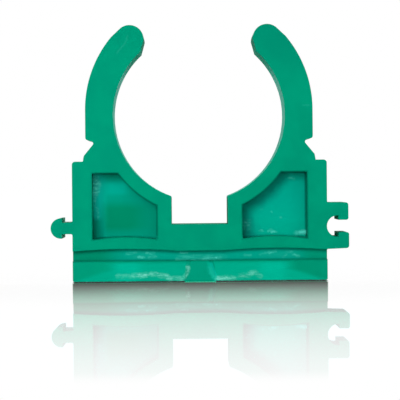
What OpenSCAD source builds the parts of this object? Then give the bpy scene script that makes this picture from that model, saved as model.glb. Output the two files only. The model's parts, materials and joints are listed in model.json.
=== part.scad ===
// Push-in pipe clip: a C-shaped seat with two flexible arms on a recessed body that slides on a rail.
// X runs across the clip, Y along the pipe and Z up. The origin is the middle of the underside.

/* [Pipe seat] */
// Outside diameter of the pipe
pipe_d = 32; // [28:0.5:36]
// Height of the pipe's axis above the underside
pipe_h = 31; // [30:0.5:36]
// Depth of the clip along the pipe
clip_depth = 16; // [12:0.5:24]
// Angle from straight up to the end of the seat, on either side
mouth_angle = 42.4; // [38:0.1:46]
// Thickness of the wall between the seat and the recesses
seat_wall = 2.55; // [1.8:0.05:3.2]

/* [Arms] */
// Thickness of each arm beside the pipe's axis
arm_t = 5.15; // [4:0.05:6]
// Height of the outer curve's centre above the pipe's axis
arm_rise = 1; // [0.4:0.1:1.6]
// Radius of the rounded arm tips
tip_r = 2.65; // [2.3:0.05:2.8]
// How far the tips stand in from the outer curve
tip_set_in = 0.15; // [0:0.05:0.4]
// Angle from straight up to the middle of a tip, seen from the outer curve's centre
tip_angle = 44.2; // [43.5:0.1:46]
// Angle over which the outer curve runs straight into a tip
tip_blend = 6; // [4:1:14]

/* [Arm roots] */
// Depth of the notch outside each arm root
notch_depth = 1.75; // [0.8:0.05:2]
// Height of the notch's root above the shoulder
notch_h = 3.55; // [2.8:0.05:4]
// Slope of the notch's upper edge
notch_slope = 17; // [5:1:30]
// How far the arm root stands out beyond the arm, at the shoulder
root_step = 0.5; // [0.3:0.05:1]
// Height of the upright face of the arm root above the shoulder
root_step_h = 1.05; // [0.5:0.05:1.5]
// How much narrower the arm root is at the top of that face
root_taper = 0.18; // [0:0.01:0.25]
// Radius of the arm's lower outer corner
root_corner_r = 0.5; // [0.2:0.05:0.6]
// Radius at the bottom of the notch
notch_r = 0.4; // [0.1:0.05:0.5]
// Radius of the arm root's outer corner
root_edge_r = 0.5; // [0.1:0.05:0.7]

/* [Body] */
// How far each shoulder stands out beyond the arm
shoulder_w = 2.55; // [1.8:0.05:4]
// Depth of the shoulders below the pipe's axis
shoulder_drop = 8.5; // [7:0.1:10]
// Radius of the shoulder corners
shoulder_r = 0.6; // [0.2:0.05:1]
// Radius of the lower corners of the body
base_r = 0.25; // [0.1:0.05:0.6]

/* [Recesses] */
// Thickness of the web between the front and back recesses
web_t = 3; // [2:0.1:5]
// Thickness of the body wall outside each recess
side_wall = 3.7; // [2.5:0.05:5]
// Thickness of the body between a recess and the shoulder
top_wall = 2.2; // [1.5:0.05:3]
// Thickness of the wall between a recess and the screw slot
slot_wall = 2.7; // [2:0.05:3.5]
// Radius of the recess corners
recess_r = 0.2; // [0.1:0.05:1]
// How far the lower edge of each recess bows up in its middle
recess_bow = 0.45; // [0.1:0.05:0.8]

/* [Screw slot] */
// Width of the slot under the seat
slot_w = 10.5; // [9:0.1:12]
// Height of the slot's floor above the underside
slot_floor_h = 10.65; // [9:0.05:12]
// Radius of the rounded edges where the seat meets the slot
slot_edge_r = 0.4; // [0.2:0.05:0.6]
// Diameter of the screw hole in the slot's floor
screw_d = 4.5; // [3:0.1:6]

/* [Rail grooves and foot] */
// Height of the grooves' lower edge above the underside
foot_h = 3.95; // [3:0.05:5]
// How far the middle column stands down below the rest of the foot
column_drop = 0.15; // [0.1:0.05:0.6]
// Height of each groove
groove_h = 1.85; // [1.2:0.05:2.5]
// Depth of each groove
groove_depth = 1.8; // [1.2:0.1:3]
// How far the plate's lower edge bows up on either side
plate_bow = 0.4; // [0.1:0.05:0.6]
// Straight stretch of that edge on either side of the middle
bow_start = 4.5; // [1:0.5:8]
// Straight stretch of that edge at either end
bow_end = 0.1; // [0.1:0.1:3]
// Thickness of the plate between a groove and a recess
plate_t = 2.15; // [1.6:0.05:3]
// Depth of the hollows in the foot, beside the middle column
hollow_depth = 0.8; // [0.3:0.05:1.1]
// Distance from the column over which a hollow fades out
hollow_run = 17; // [12:0.5:19]
// Height of the flat edge left under each hollow
hollow_edge = 0.25; // [0.1:0.05:0.8]
// Width of the middle column at its top
column_top_w = 3.2; // [2:0.1:5]
// Width of the middle column at the underside
column_base_w = 5.8; // [5:0.1:8]

/* [Side links] */
// Height of the links above the underside
link_h = 10.1; // [9.5:0.05:12]
// How far the links stand out from the body
link_reach = 4.05; // [3.6:0.05:5]
// Diameter of the link's round bead
bead_d = 3.8; // [3:0.05:4.2]
// Distance from the bead's middle to its flat side, towards the body
bead_flat = 0.18; // [0:0.01:0.4]
// Thickness of the neck that carries the bead
neck_t = 2.15; // [1.5:0.05:2.4]
// Clearance round the bead in the socket
bead_clearance = 0.08; // [0:0.01:0.15]
// Clearance on each side of the neck in the socket's mouth
neck_clearance = 0.08; // [0:0.01:0.15]
// Clearance between a socket and the body of the next clip
reach_clearance = 0.02; // [0:0.01:0.15]
// Height of the socket block above the middle of its cavity
upper_jaw_h = 4.4; // [3.6:0.1:5]
// Depth of the socket block below the middle of its cavity
lower_jaw_h = 4.25; // [3.6:0.05:4.25]
// How much the socket block narrows towards its end, on its lower side
socket_taper = 0.15; // [0:0.05:0.8]
// How much shorter the upper jaw of the socket is than the lower one
upper_set_in = 0.1; // [0:0.05:0.4]
// Radius of the outer corners of the socket block
socket_r = 0.5; // [0.2:0.05:0.8]
// Radius of the rounded lead-in at the socket's mouth
lead_r = 0.4; // [0.1:0.05:0.8]
// Radius of the fillets where the links meet the body
link_fillet_r = 0.3; // [0.1:0.05:0.5]

/* [Hidden] */
$fn = 128;
eps = 0.01;
corner_steps = 6;
arc_steps = 24;
plastic = [0, 0.6, 0.46];

pipe_r = pipe_d / 2;
outer_r = pipe_r + arm_t;
outer_h = pipe_h + arm_rise;
tip_reach = outer_r - tip_r - tip_set_in;
tip_x = tip_reach * sin(tip_angle);
tip_h = outer_h + tip_reach * cos(tip_angle);
seat_end_x = pipe_r * sin(mouth_angle);
seat_end_h = pipe_h + pipe_r * cos(mouth_angle);
shoulder_h = pipe_h - shoulder_drop;
body_half_w = outer_r + shoulder_w;
groove_top_h = foot_h + groove_h;
recess_depth = (clip_depth - web_t) / 2;
bead_r = bead_d / 2;
bead_out = link_reach - bead_r;
socket_out = link_reach + reach_clearance - bead_out;
socket_mouth = neck_t + 2 * neck_clearance;
far = clip_depth + 2 * body_half_w;

function unit(v) = v / norm(v);

// Radius of the arc over a chord of the given half length that bows out by the given rise
function bow_radius(half_chord, rise) = (half_chord * half_chord + rise * rise) / (2 * rise);

// Points that round the corner p, which lies between two other corners of a path
function corner(before, p, after, r) =
    let (
        u = unit(before - p),
        v = unit(after - p),
        half = acos(u * v) / 2,
        centre = p + unit(u + v) * r / sin(half),
        start = p + u * r / tan(half) - centre,
        turn = sign(cross(u, v)) * (2 * half - 180),
        from = atan2(start.y, start.x)
    )
    [for (i = [0:corner_steps])
        let (a = from + turn * i / corner_steps)
        centre + r * [cos(a), sin(a)]];

// A polygon given as corners [x, z, radius], each rounded with its own radius
module rounded_polygon(corners) {
    n = len(corners);
    xz = [for (c = corners) [c.x, c.y]];
    polygon([
        for (i = [0:n - 1])
            each corners[i].z > 0
                ? corner(xz[(i + n - 1) % n], xz[i], xz[(i + 1) % n], corners[i].z)
                : [xz[i]]
    ]);
}

// A flat shape in X and Z, drawn out along Y with the given depth about the middle
module along_pipe(depth) {
    rotate([90, 0, 0])
        linear_extrude(height = depth, center = true)
            children();
}

module both_sides() {
    children();
    mirror([1, 0, 0])
        children();
}

module front_and_back() {
    children();
    mirror([0, 1, 0])
        children();
}

// The fill of a concave corner at the origin whose walls run along +X and +Y
module concave_fillet(r) {
    difference() {
        translate([-eps, -eps])
            square(r + eps);
        translate([r, r])
            circle(r);
    }
}

// Corners of an arc, in steps, for rounded_polygon
function arc(centre, r, from, to) =
    [for (i = [0:arc_steps])
        let (a = from + (to - from) * i / arc_steps)
        [centre.x + r * cos(a), centre.y + r * sin(a), 0]];

// Right half of the outline, from the underside to the mouth, as corners for rounded_polygon.
// It ends inside the seat, which is cut out later.
function right_half() =
    let (
        notch_top_h = shoulder_h + notch_h + notch_depth * tan(notch_slope),
        mouth_top = [tip_x - tip_r, tip_h],
        mouth_run = [seat_end_x, seat_end_h] - mouth_top,
        below_mouth = mouth_top + mouth_run * 1.5
    )
    concat(
        [
            [column_base_w / 2, 0, 0],
            [column_base_w / 2, column_drop, 0],
            [body_half_w, column_drop, base_r],
            [body_half_w, shoulder_h, shoulder_r],
            [outer_r + root_step, shoulder_h, 0],
            [outer_r + root_step - root_taper, shoulder_h + root_step_h, root_edge_r],
            [outer_r - notch_depth, shoulder_h + notch_h, notch_r],
            [outer_r, notch_top_h, root_corner_r]
        ],
        arc([0, outer_h], outer_r, 0, 90 - tip_angle - tip_blend),
        arc([tip_x, tip_h], tip_r, 90 - tip_angle, 180),
        [[below_mouth.x, below_mouth.y, 0]]
    );

// Body and arms, with the seat left solid
module clip_outline() {
    right = right_half();
    left = [for (i = [len(right) - 1:-1:0]) [-right[i].x, right[i].y, right[i].z]];
    rounded_polygon(concat(right, left));
}

// Rounding of the edge where the seat meets the slot's right wall
module slot_edge() {
    edge_x = slot_w / 2;
    centre_x = edge_x + slot_edge_r;
    centre_h = pipe_h - sqrt(pow(pipe_r + slot_edge_r, 2) - centre_x * centre_x);
    seat_touch = [0, pipe_h] + pipe_r * unit([centre_x, centre_h - pipe_h]);
    difference() {
        polygon([
            [edge_x - eps, centre_h],
            [centre_x, centre_h],
            seat_touch,
            [edge_x - eps, seat_touch.y]
        ]);
        translate([centre_x, centre_h])
            circle(slot_edge_r);
    }
}

// Seat and screw slot
module seat_and_slot() {
    translate([0, pipe_h])
        circle(pipe_r);
    translate([-slot_w / 2, slot_floor_h])
        square([slot_w, pipe_h - slot_floor_h]);
    both_sides()
        slot_edge();
}

// Bead on its neck, on the left side
module link_bead() {
    translate([-body_half_w, link_h]) {
        intersection() {
            translate([-bead_out, 0])
                circle(bead_r);
            translate([-link_reach - 1, -bead_r])
                square([link_reach + 1 - bead_out + bead_flat, bead_d]);
        }
        translate([-bead_out, -neck_t / 2])
            square([bead_out + eps, neck_t]);
        for (side = [0, 1])
            mirror([0, side])
                translate([0, neck_t / 2])
                    mirror([1, 0])
                        concave_fillet(link_fillet_r);
    }
}

// Socket block with its two jaws, on the right side
module link_socket() {
    upper_reach = link_reach - upper_set_in;
    translate([body_half_w, link_h]) {
        rounded_polygon([
            [-1, -lower_jaw_h, 0],
            [0, -lower_jaw_h, 0],
            [link_reach, socket_taper - lower_jaw_h, socket_r],
            [link_reach, -socket_mouth / 2, lead_r],
            [socket_out, -socket_mouth / 2, 0],
            [socket_out, socket_mouth / 2, 0],
            [upper_reach, socket_mouth / 2, lead_r],
            [upper_reach, upper_jaw_h, socket_r],
            [-1, upper_jaw_h, 0]
        ]);
        translate([0, upper_jaw_h])
            concave_fillet(link_fillet_r);
    }
}

// Space for the bead behind the socket's mouth. It may cut a little into the body's side.
module socket_cavity() {
    cavity_r = bead_r + bead_clearance;
    lip_out = bead_flat + reach_clearance;
    translate([body_half_w + socket_out, link_h])
        intersection() {
            circle(cavity_r);
            translate([-cavity_r - 1, -cavity_r - 1])
                square([cavity_r + 1 + lip_out, 2 * cavity_r + 2]);
        }
}

// Fillet under the socket, on the part of the body's side between the two grooves
module socket_fillet() {
    translate([body_half_w, link_h - lower_jaw_h])
        mirror([0, 1])
            concave_fillet(link_fillet_r);
}

// Outline of one recess, right half of the body
module recess_outline() {
    left = slot_w / 2 + slot_wall;
    right = body_half_w - side_wall;
    low = groove_top_h + plate_t;
    high = shoulder_h - top_wall;
    half_chord = (right - left) / 2 - recess_r;
    bow_r = bow_radius(half_chord, recess_bow);
    difference() {
        rounded_polygon([
            [left, low, recess_r],
            [right, low, recess_r],
            [right, high, recess_r],
            [left, high, 0]
        ]);
        translate([0, pipe_h])
            circle(pipe_r + seat_wall);
        translate([(left + right) / 2, low + recess_bow - bow_r])
            circle(bow_r);
    }
}

// Groove under the plate, whose lower edge bows up on either side of the middle
module groove_outline() {
    half_chord = (body_half_w - bow_start - bow_end) / 2;
    bow_r = bow_radius(half_chord, plate_bow);
    translate([-body_half_w - 1, foot_h])
        square([2 * body_half_w + 2, groove_h]);
    both_sides()
        intersection() {
            translate([bow_start + half_chord, groove_top_h + plate_bow - bow_r])
                circle(bow_r, $fn = 360);
            translate([0, groove_top_h - plate_bow / 4])
                square([body_half_w, 2 * plate_bow]);
        }
}

// Hollow in the front of the foot, right of the column. It is deepest at the column and below the groove.
module foot_hollow() {
    rise = foot_h - column_drop - hollow_edge;
    scoop_r = bow_radius(rise, hollow_depth);
    fade = atan(hollow_depth / hollow_run);
    slant = atan((column_base_w - column_top_w) / 2 / foot_h);
    intersection() {
        translate([column_top_w / 2, hollow_depth - clip_depth / 2 - scoop_r, foot_h])
            rotate([0, 0, -fade])
                rotate([0, 90, 0])
                    cylinder(h = far, r = scoop_r, center = true);
        translate([column_top_w / 2, -clip_depth / 2, foot_h])
            rotate([0, -slant, 0])
                rotate([0, 0, -45])
                    translate([0, -far / 2, -far / 2])
                        cube([far, far, far]);
        translate([0, -clip_depth / 2 - 1, -1])
            cube([body_half_w - eps, groove_depth / 2 + 1, foot_h + groove_h / 2 + 1]);
    }
}

module screw_hole() {
    translate([0, 0, -1])
        cylinder(h = slot_floor_h + 2, d = screw_d);
}

module pipe_clip() {
    color(plastic)
        difference() {
            union() {
                along_pipe(clip_depth)
                    difference() {
                        union() {
                            clip_outline();
                            link_bead();
                            link_socket();
                        }
                        seat_and_slot();
                        socket_cavity();
                    }
                along_pipe(clip_depth - 2 * groove_depth)
                    socket_fillet();
            }
            front_and_back()
                translate([0, (recess_depth + 1 - clip_depth) / 2 - 1, 0])
                    both_sides()
                        along_pipe(recess_depth + 1)
                            recess_outline();
            front_and_back()
                translate([0, (groove_depth + 1 - clip_depth) / 2 - 1, 0])
                    along_pipe(groove_depth + 1)
                        groove_outline();
            front_and_back()
                both_sides()
                    foot_hollow();
            screw_hole();
        }
}

pipe_clip();
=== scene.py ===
# A push-in pipe clip in satin green plastic, standing on a pale glossy floor in soft studio light.
import json
import math

import bpy
from mathutils import Matrix, Vector

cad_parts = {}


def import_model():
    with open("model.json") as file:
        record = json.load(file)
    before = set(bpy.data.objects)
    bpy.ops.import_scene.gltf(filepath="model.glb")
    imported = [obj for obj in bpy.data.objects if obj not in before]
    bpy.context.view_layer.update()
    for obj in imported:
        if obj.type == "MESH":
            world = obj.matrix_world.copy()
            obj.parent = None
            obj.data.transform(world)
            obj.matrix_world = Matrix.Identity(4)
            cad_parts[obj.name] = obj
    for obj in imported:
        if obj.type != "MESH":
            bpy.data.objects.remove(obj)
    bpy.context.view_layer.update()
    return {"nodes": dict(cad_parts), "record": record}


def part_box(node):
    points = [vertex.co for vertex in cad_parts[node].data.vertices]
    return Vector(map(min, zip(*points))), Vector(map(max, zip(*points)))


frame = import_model()

MM = 0.001
CLIP = frame["nodes"]["pipe_clip"]
FRONT_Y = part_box("pipe_clip")[0].y
PIPE_SEAT = next(mount for mount in frame["record"]["mounts"] if mount["name"] == "pipe_seat")

# The clip's sizes that its material follows, in millimetres. Sides and depths are from its middle, and
# heights from the floor
PIPE_HEIGHT = PIPE_SEAT["pos_m"][2] / MM
PIPE_RADIUS = PIPE_SEAT["dims"]["r_mm"]
HALF_DEPTH = PIPE_SEAT["dims"]["length_mm"] / 2
BODY_SIDE = 23.7
FOOT_TOP = 3.95
COLUMN_LEFT = 2.9
COLUMN_RIGHT = 2.15
COLUMN_SLOPE = 0.33
HOLLOW_REACH = 16.8
GROOVE_TOP = 5.8
GROOVE_WALL_DEPTH = 6.2
WEB_HALF = 1.5
RECESS_INNER = 7.95
RECESS_OUTER = 20.0
RECESS_BOTTOM = 7.95
RECESS_TOP = 20.3
RECESS_ARC_RADIUS = 18.55
SLOT_SIDE = 5.4
SLOT_FLOOR = 10.5
TIP_SIDE = 12.0
TIP_LAND = 43.0
EDGE_RADIUS = 0.12

# Where the masks of the foot's faces, the seat's wall and the links start, and where they are full
FOOT_FACE = (6.9, 7.0)
SEAT_EDGE = (PIPE_RADIUS + 0.4, PIPE_RADIUS + 0.2)
LINK_EDGE = (BODY_SIDE + 0.1, BODY_SIDE + 0.2)

# Middle, top and radius of the flat arches over the grooves and under the recesses
GROOVE_ARCH = (14.05, 6.2, 114.0)
RECESS_ARCH = (13.975, 8.4, 37.9)

# Lines on the front, in millimetres: x and z of one end, x and z of the other, and the strength
# All are painted glints and highlights, except the arm lines
GROOVE_GLINTS = (
    (-13.7, 5.2, -12.0, 5.4, 0.5), (-10.0, 5.3, -8.5, 5.3, 0.9), (-11.4, 4.6, -10.4, 4.6, 1.1),
    (-9.6, 4.4, -8.3, 4.8, 0.6), (-3.7, 5.3, -2.4, 5.3, 0.6), (-4.4, 4.15, -3.3, 4.15, 0.8),
    (-1.2, 4.8, -1.2, 4.3, 0.7), (-1.2, 4.3, 1.1, 4.2, 0.9), (1.3, 4.25, 3.0, 4.25, 1.7),
    (8.2, 4.8, 9.4, 4.8, 0.4), (11.3, 4.9, 13.0, 5.4, 0.6), (13.0, 5.2, 14.1, 5.5, 0.9),
    (15.6, 4.4, 16.3, 5.3, 0.6), (16.3, 5.3, 17.1, 5.3, 0.8), (17.4, 4.9, 18.4, 4.6, 1.1),
)
FOOT_GLINTS = (
    (-15.4, 1.2, -12.4, 1.05, 0.4), (-12.6, 1.2, -10.9, 1.3, 0.8), (-11.4, 1.25, -10.1, 1.3, 1.3),
    (-10.2, 1.4, -8.1, 1.4, 0.8), (-7.6, 1.2, -6.1, 1.1, 0.8), (-6.0, 0.9, -5.4, 0.5, 1.0),
    (-5.0, 0.7, -3.7, 0.7, 0.5), (3.2, 0.5, 4.9, 0.65, 1.2), (4.9, 0.6, 6.4, 0.6, 0.75),
    (7.3, 0.95, 9.1, 1.15, 0.5), (9.1, 1.35, 10.2, 1.65, 0.75), (10.2, 1.5, 11.2, 0.9, 0.5),
)
COLUMN_LEFT_HIGHLIGHT = (
    (-3.4, 0.4, -2.75, 1.2, 0.9), (-2.75, 1.2, -2.25, 2.1, 0.9), (-2.25, 2.1, -2.3, 2.7, 1.3),
)
COLUMN_RIGHT_HIGHLIGHT = (1.85, 2.6, 2.0, 1.9, 0.6), (2.0, 1.9, 2.6, 1.0, 0.7), (2.6, 1.0, 3.1, 0.5, 0.95)
RECESS_END_GLINT = (-19.7, 19.3, -19.3, 18.2, 1.8), (-19.3, 18.2, -19.7, 16.6, 1.6)
RECESS_GLINTS = (
    (-19.6, 16.3, -19.6, 14.1, 0.7), (-19.3, 13.9, -19.0, 12.0, 0.5), (11.4, 9.2, 11.8, 9.2, 0.5),
    (12.8, 9.2, 13.5, 9.4, 0.6), (13.6, 9.0, 14.3, 9.0, 0.9), (16.9, 19.2, 17.9, 18.9, 0.6),
    (8.6, 10.9, 9.1, 10.3, 0.7), (11.55, 13.3, 11.6, 13.3, 0.25), (13.5, 12.8, 13.55, 12.8, 0.3),
    (15.3, 11.8, 15.35, 11.8, 0.35),
)
RECESS_CORNER_GLINT = (18.1, 8.8, 18.8, 8.8, 0.35), (18.9, 8.85, 19.7, 8.95, 0.8)
# Faint marks on the arm tips
ARM_LINES = (
    (-13.1, 45.9, -13.5, 44.5, 0.04), (-13.5, 44.5, -15.2, 42.6, 0.05), (19.4, 32.6, 20.4, 32.6, 0.05),
)

FACE_ROUGHNESS = 0.42

# The floor's reflection: its levels along its reach, and how the foot's image narrows and leans
FLOOR_HALF_SIZE = 4.0
FLOOR_IOR = 1.45
MIRROR_GAIN = 1.43
MIRROR_REACH = 300.0
MIRROR_LEVELS = (
    (0.0, 0.985), (0.03, 0.925), (0.07, 0.87), (0.15, 0.785), (0.29, 0.616), (0.51, 0.425), (0.71, 0.264),
    (0.85, 0.15), (1.0, 0.0),
)
FOOT_NARROWING = 0.0442
FOOT_LEAN = 0.0052

AMBIENT = 0.2
LIGHT_AIM = Vector((0, 0, 20 * MM))

# Camera: it stands a little left of the clip's middle and level with the recesses
CAMERA_X = -2.76 * MM
CAMERA_Z = 18.22 * MM
CAMERA_DISTANCE = 536 * MM
AIM_X = 0.07 * MM
AIM_Z = 15.17 * MM
VIEW_WIDTH = 74.35 * MM
CAMERA_ROLL = math.radians(0.52)
SENSOR_WIDTH = 36.0


def linear(red, green, blue):
    """An sRGB colour of 0 to 255 as the linear colour that the shaders take."""
    def channel(value):
        value /= 255
        return value / 12.92 if value <= 0.04045 else ((value + 0.055) / 1.055) ** 2.4
    return (channel(red), channel(green), channel(blue), 1.0)


class Nodes:
    """Short calls for the nodes of one material or world."""

    def __init__(self, tree):
        self.tree = tree
        self.tree.nodes.clear()

    def add(self, kind, values=None, **settings):
        node = self.tree.nodes.new(kind)
        for name, value in settings.items():
            setattr(node, name, value)
        for name, value in (values or {}).items():
            self.put(node.inputs[name], value)
        return node

    def put(self, socket, value):
        """Links the socket to another node's output, or sets it to a plain value."""
        if isinstance(value, bpy.types.NodeSocket):
            self.tree.links.new(value, socket)
        else:
            socket.default_value = value

    def math(self, operation, *values, clamp=False):
        node = self.add("ShaderNodeMath", operation=operation, use_clamp=clamp)
        for socket, value in zip(node.inputs, values):
            self.put(socket, value)
        return node.outputs[0]

    def chain(self, operation, values):
        """All the values joined by one operation, from the first to the last."""
        result, *others = values
        for value in others:
            result = self.math(operation, result, value)
        return result

    def product(self, *values):
        return self.chain("MULTIPLY", values)

    def most(self, *values):
        return self.chain("MAXIMUM", values)

    def plus(self, a, b):
        return self.math("ADD", a, b)

    def minus(self, a, b):
        return self.math("SUBTRACT", a, b)

    def length(self, a, b):
        return self.math("SQRT", self.plus(self.product(a, a), self.product(b, b)))

    def ramp(self, value, start, end, low=0.0, high=1.0):
        """low up to start and high from end on, with a smooth step between them."""
        values = {"Value": value, "From Min": start, "From Max": end, "To Min": low, "To Max": high}
        node = self.add("ShaderNodeMapRange", values, interpolation_type="SMOOTHSTEP", clamp=False)
        return node.outputs[0]

    def band(self, value, low, high, soft):
        """1 between low and high, fading to 0 over soft outside them."""
        above = self.ramp(value, low - soft, low)
        return self.product(above, self.ramp(value, high, high + soft, 1.0, 0.0))

    def mix(self, factor, a, b):
        """Colour a where the factor is 0 and colour b where it is 1."""
        node = self.add("ShaderNodeMix", data_type="RGBA", clamp_factor=True)
        for index, value in {0: factor, 6: a, 7: b}.items():
            self.put(node.inputs[index], value)
        return node.outputs[2]

    def noise(self, vector, scale, detail=2.0, roughness=0.5):
        values = {"Vector": vector, "Scale": scale, "Detail": detail, "Roughness": roughness}
        return self.add("ShaderNodeTexNoise", values).outputs["Fac"]

    def vector(self, operation, a, b):
        return self.add("ShaderNodeVectorMath", {0: a, 1: b}, operation=operation).outputs

    def xyz(self, vector):
        return self.add("ShaderNodeSeparateXYZ", {0: vector}).outputs

    def millimetres(self):
        """The place on the object, in millimetres."""
        place = self.add("ShaderNodeTexCoord").outputs["Object"]
        return self.vector("MULTIPLY", place, (1 / MM, 1 / MM, 1 / MM))[0]


class Place(Nodes):
    """Nodes that work on the place on the clip, in millimetres."""

    def __init__(self, tree):
        super().__init__(tree)
        self.place = self.millimetres()
        self.x, self.y, self.z = self.xyz(self.place)
        self.side = self.math("ABSOLUTE", self.x)
        self.depth = self.math("ABSOLUTE", self.y)
        self.from_pipe = self.length(self.x, self.minus(self.z, PIPE_HEIGHT))
        # The same place without its depth and a little off at random, for painted glints and marks with
        # ragged edges
        off_x = self.minus(self.noise(self.place, 1.8), 0.5)
        elsewhere = self.vector("ADD", self.place, (50, 0, 0))[0]
        off_z = self.minus(self.noise(elsewhere, 1.8), 0.5)
        ragged_x = self.plus(self.x, self.product(off_x, 0.8))
        ragged_z = self.plus(self.z, self.product(off_z, 0.6))
        self.ragged = self.add("ShaderNodeCombineXYZ", {"X": ragged_x, "Z": ragged_z}).outputs[0]

    def bow(self, value, middle, top, radius):
        """Height of a flat arch at the given value."""
        off = self.minus(value, middle)
        return self.minus(top, self.math("DIVIDE", self.product(off, off), 2 * radius))

    def patch(self, x0, x1, z0, z1, soft_x, soft_z):
        """1 between x0 and x1 and between z0 and z1, with soft edges outside them."""
        return self.product(self.band(self.x, x0, x1, soft_x), self.band(self.z, z0, z1, soft_z))

    def strokes(self, lines, width):
        """The strength of each line on it, fading to 0 at the width's distance from it."""
        result = 0.0
        for x0, z0, x1, z1, strength in lines:
            run = Vector((x1 - x0, 0, z1 - z0))
            start = self.vector("SUBTRACT", self.ragged, (x0, 0, z0))[0]
            along = self.vector("DOT_PRODUCT", start, run / run.length_squared)["Value"]
            along = self.math("MAXIMUM", self.math("MINIMUM", along, 1.0), 0.0)
            nearest = self.add("ShaderNodeVectorMath", {0: run, "Scale": along}, operation="SCALE")
            distance = self.vector("DISTANCE", start, nearest.outputs[0])["Value"]
            result = self.math("MAXIMUM", result, self.ramp(distance, 0.0, width, strength, 0.0))
        return result


class Surfaces(Place):
    """Masks for the clip's surfaces: each is 1 on its surface and 0 away from it."""

    def __init__(self, tree):
        super().__init__(tree)
        normal = self.add("ShaderNodeNewGeometry").outputs["True Normal"]
        self.facing = self.math("ABSOLUTE", self.xyz(normal)[1])
        self.inward = self.product(self.xyz(normal)[0], self.ramp(self.x, -1, 1, 1.0, -1.0))
        self.front = self.ramp(self.y, -1, -1.4)
        self.flat = self.ramp(self.facing, 0.8, 0.95)

        # Distance outside the outline of the recesses, negative inside it
        self.recess_low = self.most(RECESS_BOTTOM, self.bow(self.side, *RECESS_ARCH))
        recess_gap = self.most(
            self.minus(RECESS_INNER, self.side),
            self.minus(self.side, RECESS_OUTER),
            self.minus(self.recess_low, self.z),
            self.minus(self.z, RECESS_TOP),
            self.minus(RECESS_ARC_RADIUS, self.from_pipe),
        )
        # Masks for painted shade: the recesses' rims, the plate's shadow on the groove wall and the foot's
        # top edge
        self.recess_rim_shade = self.product(self.ramp(recess_gap, 0.3, 0.1), self.ramp(recess_gap, -0.35, -0.1))
        groove_top = self.most(GROOVE_TOP, self.bow(self.side, *GROOVE_ARCH))
        below_plate = self.minus(groove_top, self.z)
        self.plate_shadow = self.product(
            self.ramp(self.depth, HALF_DEPTH - 0.1, HALF_DEPTH - 0.2),
            self.ramp(below_plate, -0.4, -0.1),
            self.ramp(below_plate, 0.25, 1.0, 1.0, 0.0),
        )
        self.foot_edge_shade = self.product(
            self.ramp(self.depth, GROOVE_WALL_DEPTH - 0.2, GROOVE_WALL_DEPTH - 0.1),
            self.band(self.z, FOOT_TOP - 0.1, FOOT_TOP + 0.1, 0.25),
        )

        self.recess_floor = self.product(self.ramp(self.depth, WEB_HALF + 0.4, WEB_HALF + 0.2), self.flat)
        groove_wall = self.band(self.depth, GROOVE_WALL_DEPTH - 0.3, GROOVE_WALL_DEPTH + 0.2, 0.1)
        self.groove_wall = self.product(groove_wall, self.flat)
        # The hollows reach further out low on the foot, and end at the sloping sides of the middle column
        hollow_end = self.plus(HOLLOW_REACH, self.product(self.most(0.0, self.minus(2.3, self.z)), 3.0))
        column_base = self.ramp(self.x, -1, 1, COLUMN_LEFT, COLUMN_RIGHT)
        column_side = self.minus(column_base, self.product(self.z, COLUMN_SLOPE))
        self.hollow = self.product(
            self.ramp(self.depth, *FOOT_FACE),
            self.ramp(self.z, 4.0, 3.2),
            self.ramp(self.minus(self.side, hollow_end), -1.6, 1.6, 1.0, 0.0),
            self.ramp(self.minus(self.side, column_side), 0.0, 0.5),
        )


def face_colour(n):
    """Green in soft clouds, with painted shade towards the right and painted light on the foot."""
    # Painted shade: the green deepens towards the right, away from the key light
    shade_to_right = n.ramp(n.x, -24, 24)
    cloud = n.ramp(n.noise(n.place, 0.18), 0.35, 0.65)
    light = n.mix(shade_to_right, linear(0, 155, 118), linear(0, 151, 115))
    deep = n.mix(shade_to_right, linear(0, 149, 115), linear(0, 144, 110))
    colour = n.mix(cloud, light, deep)
    # Painted shade, deeper still on the right arm
    right_arm = n.product(n.ramp(n.x, 6, 14), n.ramp(n.z, 36, 45), 0.7)
    colour = n.mix(right_arm, colour, linear(0, 138, 108))
    # Painted light at the foot's left end and on its middle column
    left_foot_light = n.product(n.ramp(n.x, -15, -19), n.ramp(n.z, 4.0, 3.6))
    colour = n.mix(n.product(left_foot_light, 0.6), colour, linear(0, 160, 124))
    column = n.product(n.ramp(n.side, 3.2, 2.6), n.ramp(n.z, 4.0, 3.6))
    return n.mix(n.product(column, 0.7), colour, linear(0, 157, 126))


def recess_floor_colour(n):
    """Painted light: both floors are paler than the faces; the left one is darker along its lower middle.
    """
    darker = n.product(n.band(n.z, 10.8, 13.2, 2.5), n.ramp(n.x, -8.5, -14.0, 0.3, 1.1))
    left = n.mix(darker, linear(0, 175, 145), linear(0, 155, 115))
    # Painted light in a pale patch high on the left floor
    left = n.mix(n.patch(-16.5, -14.6, 16.9, 18.0, 2.0, 1.2), left, linear(0, 192, 167))
    # Painted light at the left floor's outer end, lifting the shade of its wall
    outer_end_light = n.product(n.ramp(n.x, -16.9, -19.6), n.ramp(n.z, 9.5, 14.0, 0.5, 0.8))
    left = n.mix(outer_end_light, left, linear(10, 218, 200))
    # Less painted light in the left floor's lower outer corner
    left = n.mix(n.patch(-19.9, -18.4, 8.3, 11.0, 1.0, 1.2), left, linear(0, 170, 142))
    # Painted light: the right floor is the palest, most of all low down
    right = n.mix(n.ramp(n.z, 16, 10), linear(0, 181, 155), linear(0, 192, 162))
    return n.mix(n.ramp(n.x, -1, 1), left, right)


def groove_colour(n):
    """Painted light: paler between the groove's two ends."""
    between = n.product(n.ramp(n.x, -19.5, -13.0), n.ramp(n.x, 21.5, 16.5))
    ends = n.mix(n.ramp(n.x, -2, 2), linear(0, 154, 117), linear(0, 162, 126))
    return n.mix(between, ends, linear(0, 175, 149))


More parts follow.
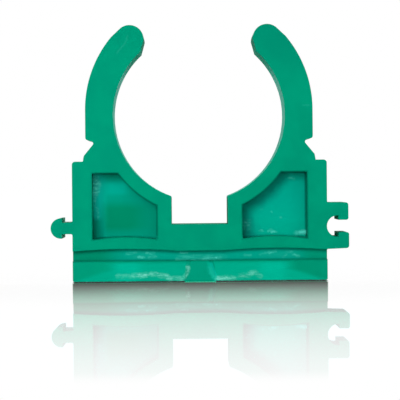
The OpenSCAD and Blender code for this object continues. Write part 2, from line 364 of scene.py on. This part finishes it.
def hollow_colour(n):
    """Painted light: paler than the faces, palest on the wall to the right of the middle column."""
    colour = n.mix(n.band(n.side, 12.5, 14.5, 2.5), linear(0, 171, 138), linear(0, 181, 149))
    # Painted light lifting the shade on the column's right wall
    beside_column = n.band(n.plus(n.x, n.product(n.z, COLUMN_SLOPE)), 2.95, 3.35, 0.15)
    column_wall_light = n.product(beside_column, n.ramp(n.z, 3.8, 3.4))
    return n.mix(column_wall_light, colour, linear(0, 193, 168))


def paint_wall_light(n, colour):
    """Painted light on the walls along the pipe, in the seat and the links, and the column's right side.
    """
    # Painted light on the seat's wall, palest low down
    bore = n.product(n.ramp(n.from_pipe, *SEAT_EDGE), n.ramp(n.facing, 0.6, 0.3))
    bore_colour = n.mix(n.ramp(n.z, 37, 42), linear(0, 198, 170), linear(0, 162, 130))
    colour = n.mix(bore, colour, bore_colour)
    # Painted light on the links' walls, paler on the left
    link_wall = n.product(n.ramp(n.side, *LINK_EDGE), n.ramp(n.inward, 0.5, 0.8))
    link_colour = n.mix(n.ramp(n.x, -1, 1), linear(0, 215, 185), linear(0, 185, 150))
    colour = n.mix(link_wall, colour, link_colour)
    # A painted highlight down the column's right side
    column_highlight = n.product(n.strokes(COLUMN_RIGHT_HIGHLIGHT, width=0.75), n.front, n.ramp(n.z, 3.3, 2.6))
    return n.mix(column_highlight, colour, linear(22, 188, 160))


def paint_edge_shade(n, colour):
    """Painted shade on the right recess's inner side and along the edges of the recesses, plate and foot.
    """
    mottle = n.noise(n.place, 0.45, roughness=0.6)
    uneven = n.product(n.minus(mottle, 0.5), 4.0)
    # Painted shadow of the right recess's wall and arc on its floor, with uneven edges
    shade = n.product(n.recess_floor, n.ramp(n.x, 1, 2), n.most(
        n.ramp(n.plus(n.from_pipe, uneven), 21.8, 18.5),
        n.ramp(n.plus(n.side, uneven), 12.2, 8.0),
        n.product(n.ramp(n.plus(n.side, n.z), 20.8, 18.0), 1.2),
    ))
    colour = n.mix(n.product(shade, 0.55), colour, linear(10, 144, 132))
    # The rim shade is fainter low at the recesses' outer ends
    above_low = n.minus(n.z, n.recess_low)
    faint = n.product(n.ramp(above_low, 0.8, 0.4), n.ramp(n.side, 18.6, 17.0), 0.5)
    rim = n.product(n.recess_rim_shade, n.minus(1.0, faint))
    # Painted shade: the recess rims, the plate's shadow, the foot's top edge and a contact shadow at its
    # bottom
    edges = n.most(
        n.product(rim, n.ramp(n.x, -19.0, -19.7, 1.0, 0.6)),
        n.product(n.plate_shadow, 0.75),
        n.product(n.foot_edge_shade, 0.6),
        n.ramp(n.z, 0.45, 0.15, 0.0, 0.3),
    )
    return n.mix(n.product(edges, 0.6), colour, linear(0, 90, 70))


def paint_glints_and_marks(n, colour):
    """Painted glints, most on the faces set back at the front, and faint marks on the arms."""
    streaks = n.noise(n.vector("MULTIPLY", n.place, (0.6, 1.0, 1.8))[0], 1.5, 2.5, 0.6)
    glint_speckle = n.ramp(streaks, 0.4, 0.62, 0.3, 1.1)
    # Painted glints on the groove wall, the foot and in the recesses
    glint_on_groove = n.product(n.groove_wall, n.most(
        n.strokes(GROOVE_GLINTS, width=0.45),
        n.product(
            n.most(n.patch(-12.5, -9.0, 4.4, 5.4, 2.0, 0.4), n.patch(12.5, 17.0, 4.6, 5.4, 2.0, 0.4)),
            0.1,
        ),
        n.product(n.patch(-3.0, 3.5, 4.1, 4.6, 2.0, 0.6), 0.55),
    ))
    glint_on_foot = n.product(
        n.ramp(n.depth, *FOOT_FACE),
        n.most(n.strokes(FOOT_GLINTS, width=0.7), n.strokes(COLUMN_LEFT_HIGHLIGHT, width=0.6)),
    )
    glint_in_recess = n.product(n.recess_floor, n.most(
        n.strokes(RECESS_END_GLINT, width=1.1),
        n.product(n.patch(8.2, 9.2, 9.8, 11.0, 0.8, 0.8), 0.25),
        n.strokes(RECESS_GLINTS, width=0.4),
    ))
    glint_in_corner = n.product(n.recess_floor, n.strokes(RECESS_CORNER_GLINT, width=0.65))
    outer_face = n.ramp(n.depth, HALF_DEPTH - 0.1, HALF_DEPTH - 0.05)
    on_arms = n.product(outer_face, n.flat, n.strokes(ARM_LINES, width=0.3))
    marks = n.most(
        n.product(glint_on_groove, glint_speckle, 0.32),
        n.product(glint_in_recess, glint_speckle, 0.5),
        glint_in_corner,
        on_arms,
    )
    # Pale painted glints and the arms' faint marks over the green
    colour = n.mix(n.product(n.front, marks), colour, linear(104, 255, 237))
    return n.mix(n.product(n.front, glint_on_foot, glint_speckle, 0.5), colour, linear(140, 238, 220))


def surface_bump(n):
    """A fine grain on slow waves."""
    grain = n.noise(n.place, 9.0, 3.0, 0.6)
    waves = n.noise(n.place, 0.35)
    height = n.plus(n.product(grain, 0.15), n.product(waves, 0.85))
    return n.add("ShaderNodeBump", {"Height": height, "Strength": 0.25, "Distance": 0.1 * MM}).outputs[0]


def wall_dullness(n):
    """How much rougher the walls that run along the pipe are than the faces."""
    return n.product(n.ramp(n.facing, 0.6, 0.3), n.most(
        n.product(n.ramp(n.from_pipe, *SEAT_EDGE), n.ramp(n.z, 37, 42, 0.12, 0.4)),
        n.product(n.ramp(n.side, TIP_SIDE + 0.5, TIP_SIDE), n.ramp(n.z, TIP_LAND - 0.4, TIP_LAND), 0.4),
        n.product(
            n.ramp(n.side, SLOT_SIDE + 0.2, SLOT_SIDE),
            n.ramp(n.z, SLOT_FLOOR - 0.1, SLOT_FLOOR),
            0.35,
        ),
        n.ramp(n.x, *(-edge for edge in LINK_EDGE), 0.0, 0.15),
        n.ramp(n.x, *LINK_EDGE, 0.0, 0.35),
    ))


def clip_plastic():
    material = bpy.data.materials.new("clip_plastic")
    material.use_nodes = True
    n = Surfaces(material.node_tree)
    colour = face_colour(n)
    colour = n.mix(n.recess_floor, colour, recess_floor_colour(n))
    colour = n.mix(n.groove_wall, colour, groove_colour(n))
    colour = n.mix(n.hollow, colour, hollow_colour(n))
    colour = paint_wall_light(n, colour)
    colour = paint_edge_shade(n, colour)
    colour = paint_glints_and_marks(n, colour)
    bump = surface_bump(n)
    shader = n.add("ShaderNodeBsdfPrincipled", {
        "Base Color": colour,
        "Roughness": n.plus(FACE_ROUGHNESS, wall_dullness(n)),
        "Specular IOR Level": 0.25,
        "Specular Tint": (0.0, 1.0, 0.85, 1.0),
        "Normal": bump,
    })
    n.add("ShaderNodeOutputMaterial", {"Surface": shader.outputs[0]})
    return material


def dress_clip():
    CLIP.data.materials.clear()
    CLIP.data.materials.append(clip_plastic())
    bevel = CLIP.modifiers.new("soft_edges", "BEVEL")
    bevel.width = EDGE_RADIUS * MM
    bevel.segments = 2
    bevel.limit_method = "ANGLE"
    bevel.angle_limit = math.radians(30)
    bevel.harden_normals = True
    bevel.use_clamp_overlap = True


def floor_ground(n, x, y):
    """White for the camera, but for the shadow round the clip."""
    near = n.ramp(n.length(x, y), 30, 120, 1.0, 0.0)
    lit = n.add("ShaderNodeBsdfDiffuse", {"Color": (0.86, 0.86, 0.86, 1)})
    white = n.add("ShaderNodeEmission", {"Color": (1, 1, 1, 1), "Strength": 1.0})
    seen = n.add("ShaderNodeLightPath").outputs["Is Camera Ray"]
    plain = n.product(seen, n.minus(1.0, n.product(near, 0.3)))
    return n.add("ShaderNodeMixShader", {0: plain, 1: lit.outputs[0], 2: white.outputs[0]}).outputs[0]


def floor_mirror(n, ahead):
    """How much the floor mirrors: most next to the clip, and less and less ahead of it."""
    fresnel = n.add("ShaderNodeFresnel", {"IOR": FLOOR_IOR}).outputs[0]
    grazing = n.math("POWER", fresnel, 2.0)
    fade = n.add("ShaderNodeValToRGB")
    stops = fade.color_ramp.elements
    for share, _ in MIRROR_LEVELS[1:-1]:
        stops.new(share)
    for stop, (_, level) in zip(stops, MIRROR_LEVELS):
        stop.color = (level, level, level, 1)
    n.put(fade.inputs[0], n.math("DIVIDE", ahead, MIRROR_REACH, clamp=True))
    level = n.product(fade.outputs[0], n.ramp(ahead, 255, 275, 1.0, 0.0))
    return n.math("MULTIPLY", n.product(level, grazing), MIRROR_GAIN, clamp=True)


def floor_tint(n, x, ahead):
    """Painted shade darkens the reflection in the image of the foot; painted light makes it greener
    further ahead.
    """
    narrowed = n.minus(BODY_SIDE, n.product(ahead, FOOT_NARROWING))
    from_middle = n.math("ABSOLUTE", n.plus(x, n.product(ahead, FOOT_LEAN)))
    half_foot = n.minus(narrowed, n.ramp(ahead, 0, -1, 0.0, 0.35))
    below = n.product(
        n.ramp(ahead, -17, -16),
        n.ramp(n.minus(from_middle, half_foot), -0.2, 0.2, 1.0, 0.0),
    )
    # Painted contact shadow in the image of the foot, fading further ahead
    under = n.product(n.ramp(ahead, 6, 98, 1.0, 0.0), n.ramp(ahead, 0.5, 9.5), below)
    # In the foot's image the reflection is painted browner, and greener and brighter at its lower edge
    contact = n.mix(n.ramp(ahead, 3, 1), (1, 0.9, 0.83, 1), (1, 2.2, 2.0, 1))
    near = n.mix(below, (1, 1, 1, 1), contact)
    # Painted light: further ahead the reflection is greener and brighter
    far = n.mix(n.ramp(ahead, 105, 145), near, (1, 1.5, 1.65, 1))
    tint = n.mix(under, far, (0.03, 0.05, 0.01, 1))
    # Painted shade also darkens the floor where it shows under the foot's rounded lower corners
    corner_shade = n.product(
        n.ramp(from_middle, BODY_SIDE - 1.0, BODY_SIDE - 0.6),
        n.ramp(from_middle, BODY_SIDE + 0.1, BODY_SIDE - 0.1),
        n.ramp(ahead, -9, -8),
        n.ramp(ahead, 3, 1.5),
    )
    return n.mix(corner_shade, tint, (0.02, 0.1, 0.08, 1))


def floor_gloss():
    material = bpy.data.materials.new("floor_gloss")
    material.use_nodes = True
    n = Nodes(material.node_tree)
    x, y, _ = n.xyz(n.millimetres())
    ahead = n.minus(FRONT_Y / MM, y)
    ground = floor_ground(n, x, y)
    mirror = floor_mirror(n, ahead)
    gloss = n.add("ShaderNodeBsdfGlossy", {"Color": floor_tint(n, x, ahead), "Roughness": 0.01})
    mixed = n.add("ShaderNodeMixShader", {0: mirror, 1: ground, 2: gloss.outputs[0]})
    n.add("ShaderNodeOutputMaterial", {"Surface": mixed.outputs[0]})
    return material


def floor():
    half = FLOOR_HALF_SIZE
    corners = [(-half, -half, 0), (half, -half, 0), (half, half, 0), (-half, half, 0)]
    mesh = bpy.data.meshes.new("floor")
    mesh.from_pydata(corners, [], [(0, 1, 2, 3)])
    mesh.materials.append(floor_gloss())
    obj = bpy.data.objects.new("floor", mesh)
    bpy.context.collection.objects.link(obj)


def world():
    """White for the camera and, towards the back, in reflections, and dim light from all sides."""
    studio = bpy.data.worlds.new("studio")
    bpy.context.scene.world = studio
    studio.use_nodes = True
    n = Nodes(studio.node_tree)
    path = n.add("ShaderNodeLightPath")
    glossy = path.outputs["Is Glossy Ray"]
    seen = n.most(path.outputs["Is Camera Ray"], path.outputs["Is Transmission Ray"])
    towards_back = n.xyz(n.add("ShaderNodeTexCoord").outputs["Generated"])[1]
    mirrored = n.product(glossy, n.ramp(towards_back, -0.2, 0.5))
    ambient = n.product(n.minus(1.0, glossy), AMBIENT)
    strength = n.most(seen, mirrored, ambient)
    background = n.add("ShaderNodeBackground", {"Color": (1, 1, 1, 1), "Strength": strength})
    n.add("ShaderNodeOutputWorld", {"Surface": background.outputs[0]})


def area_light(name, place, size, power, glossy=False):
    light = bpy.data.lights.new(name, "AREA")
    light.shape = "SQUARE"
    light.size = size
    light.energy = power
    obj = bpy.data.objects.new(name, light)
    bpy.context.collection.objects.link(obj)
    obj.location = place
    aim = LIGHT_AIM - Vector(place)
    obj.rotation_euler = aim.to_track_quat("-Z", "Y").to_euler()
    obj.visible_glossy = glossy


def lights():
    area_light("key_softbox", (-0.28, -1.2, 0.22), size=0.35, power=6.7)
    area_light("fill_softbox", (0.2, -1.2, 0.35), size=0.8, power=3.0)
    area_light("top_softbox", (0, -0.15, 0.9), size=0.7, power=3.0, glossy=True)
    area_light("back_softbox", (0.5, 1.0, 0.6), size=0.8, power=3.5)


def camera():
    data = bpy.data.cameras.new("camera")
    data.sensor_width = SENSOR_WIDTH
    data.lens = SENSOR_WIDTH * CAMERA_DISTANCE / VIEW_WIDTH
    data.clip_start = 0.01
    obj = bpy.data.objects.new("camera", data)
    bpy.context.collection.objects.link(obj)
    place = Vector((CAMERA_X, FRONT_Y - CAMERA_DISTANCE, CAMERA_Z))
    aim = Vector((AIM_X, FRONT_Y, AIM_Z)) - place
    turn = aim.to_track_quat("-Z", "Y").to_matrix() @ Matrix.Rotation(-CAMERA_ROLL, 3, "Z")
    obj.matrix_world = Matrix.Translation(place) @ turn.to_4x4()
    bpy.context.scene.camera = obj


camera()
world()
lights()
floor()
dress_clip()
bpy.context.scene.view_settings.view_transform = "Standard"
